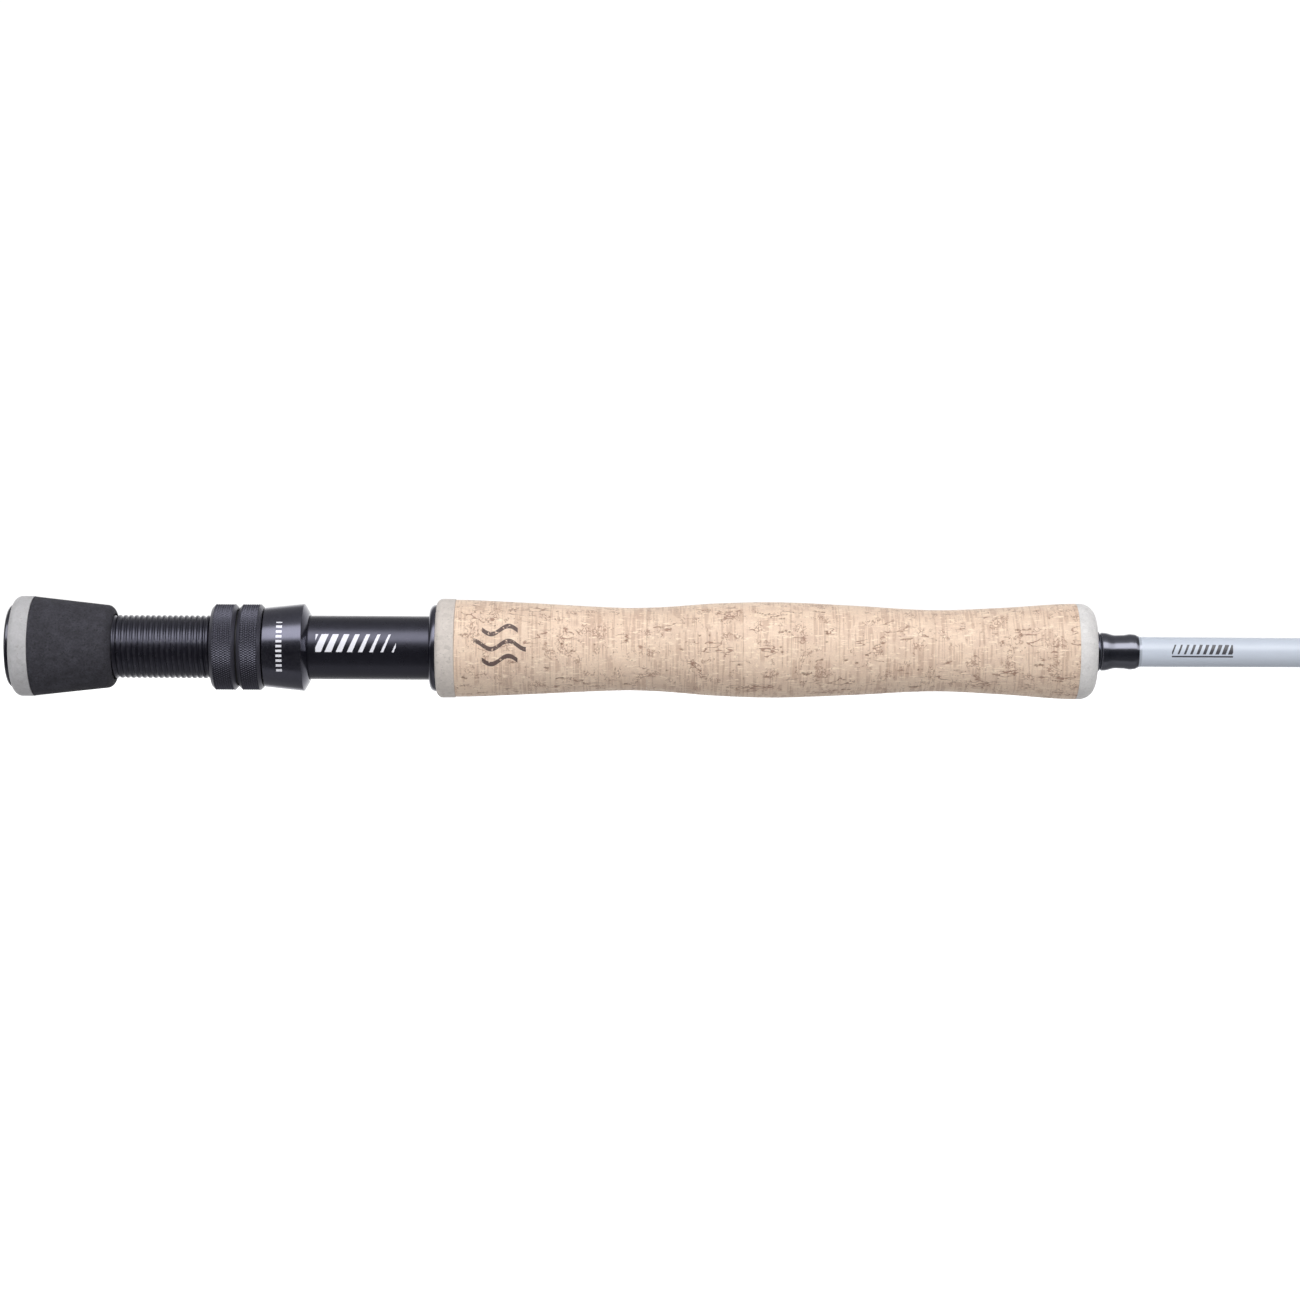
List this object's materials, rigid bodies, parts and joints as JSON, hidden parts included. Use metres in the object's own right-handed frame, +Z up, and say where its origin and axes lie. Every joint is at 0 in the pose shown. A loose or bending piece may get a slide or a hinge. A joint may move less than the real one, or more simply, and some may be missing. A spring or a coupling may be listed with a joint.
{
  "type": "fly fishing rod",
  "caption": "Four-piece fly fishing rod with a full-wells cork grip, black screw-locking reel seat, foam fighting butt, pale grey blank, line guides and a tip loop.",
  "frame": {"origin": "centre of the butt cap's outer face, on the rod's axis", "axes": "+X along the rod from butt to tip, +Y towards the side of the reel and the line guides, +Z up with the rod lying on its side"},
  "size_m": [2.7438, 0.0382, 0.027],
  "materials": {
    "gloss_black": "gloss",
    "grey_rubber_cork": "matte",
    "charcoal_foam": "matte closed-cell foam",
    "black_anodised": "satin black anodised",
    "natural_cork": "natural, sanded",
    "grey_blank": "satin painted carbon tube",
    "winding_resin": "clear epoxy over black thread",
    "black_nylon": "satin",
    "white_foam": "matte foam",
    "polished_steel": "polished stainless wire",
    "dark_ceramic": "polished"
  },
  "bodies": {
    "butt_section": {"butt_cap": "gloss_black", "butt_ring": "grey_rubber_cork", "fighting_butt": "charcoal_foam", "reel_seat_barrel": "black_anodised", "rear_arbor": "white_foam", "front_arbor": "white_foam", "fixed_hood": "black_anodised", "grip_rear_ring": "grey_rubber_cork", "cork_ring_01": "natural_cork", "cork_ring_02": "natural_cork", "cork_ring_03": "natural_cork", "cork_ring_04": "natural_cork", "cork_ring_05": "natural_cork", "cork_ring_06": "natural_cork", "cork_ring_07": "natural_cork", "cork_ring_08": "natural_cork", "cork_ring_09": "natural_cork", "cork_ring_10": "natural_cork", "cork_ring_11": "natural_cork", "cork_ring_12": "natural_cork", "cork_ring_13": "natural_cork", "grip_front_ring": "grey_rubber_cork", "winding_check": "black_anodised", "front_winding": "winding_resin", "butt_blank": "grey_blank", "stripping_frame_1": "polished_steel", "stripping_ring_1": "dark_ceramic", "stripping_winding_1a": "winding_resin", "stripping_winding_1b": "winding_resin"},
    "hood": {"sliding_hood": "black_anodised", "hood_bush": "black_nylon"},
    "front_ring": {"front_lock_ring": "black_anodised"},
    "washer": {"lock_washer": "black_nylon"},
    "rear_ring": {"rear_lock_ring": "black_anodised"},
    "section_2": {"mid_blank_1": "grey_blank", "ferrule_winding_1": "winding_resin", "stripping_frame_2": "polished_steel", "stripping_ring_2": "dark_ceramic", "stripping_winding_2a": "winding_resin", "stripping_winding_2b": "winding_resin", "snake_guide_01": "polished_steel"},
    "section_3": {"mid_blank_2": "grey_blank", "ferrule_winding_2": "winding_resin", "snake_guide_02": "polished_steel", "snake_guide_03": "polished_steel", "snake_guide_04": "polished_steel", "snake_guide_05": "polished_steel"},
    "section_4": {"tip_blank": "grey_blank", "ferrule_winding_3": "winding_resin", "snake_guide_06": "polished_steel", "snake_guide_07": "polished_steel", "snake_guide_08": "polished_steel", "snake_guide_09": "polished_steel", "snake_guide_10": "polished_steel", "tip_top": "polished_steel", "tip_winding": "winding_resin"}
  },
  "joints": [
    {"name": "hood_slide", "type": "slide", "parent": "butt_section", "child": "hood", "axis": [1, 0, 0], "range_m": [-0.02001, 0.01101]},
    {"name": "front_ring_turn", "type": "hinge", "parent": "hood", "child": "front_ring", "pos_m": [0.0621, 0, 0], "axis": [1, 0, 0], "range_deg": [-4800, 2640]},
    {"name": "rear_ring_slide", "type": "slide", "parent": "front_ring", "child": "washer", "axis": [1, 0, 0], "range_m": [-0.00501, 0.00001]},
    {"name": "rear_ring_turn", "type": "hinge", "parent": "washer", "child": "rear_ring", "pos_m": [0.0548, 0, 0], "axis": [1, 0, 0], "range_deg": [-1200, 0]},
    {"name": "section_2_pull", "type": "slide", "parent": "butt_section", "child": "section_2", "axis": [1, 0, 0], "range_m": [0, 0.058]},
    {"name": "section_3_pull", "type": "slide", "parent": "section_2", "child": "section_3", "axis": [1, 0, 0], "range_m": [0, 0.058]},
    {"name": "section_4_pull", "type": "slide", "parent": "section_3", "child": "section_4", "axis": [1, 0, 0], "range_m": [0, 0.058]}
  ],
  "couplings": [
    {"joint": "hood_slide", "follows": "front_ring_turn", "m_per_rad": 0.00023873},
    {"joint": "rear_ring_slide", "follows": "rear_ring_turn", "m_per_rad": 0.00023873}
  ]
}
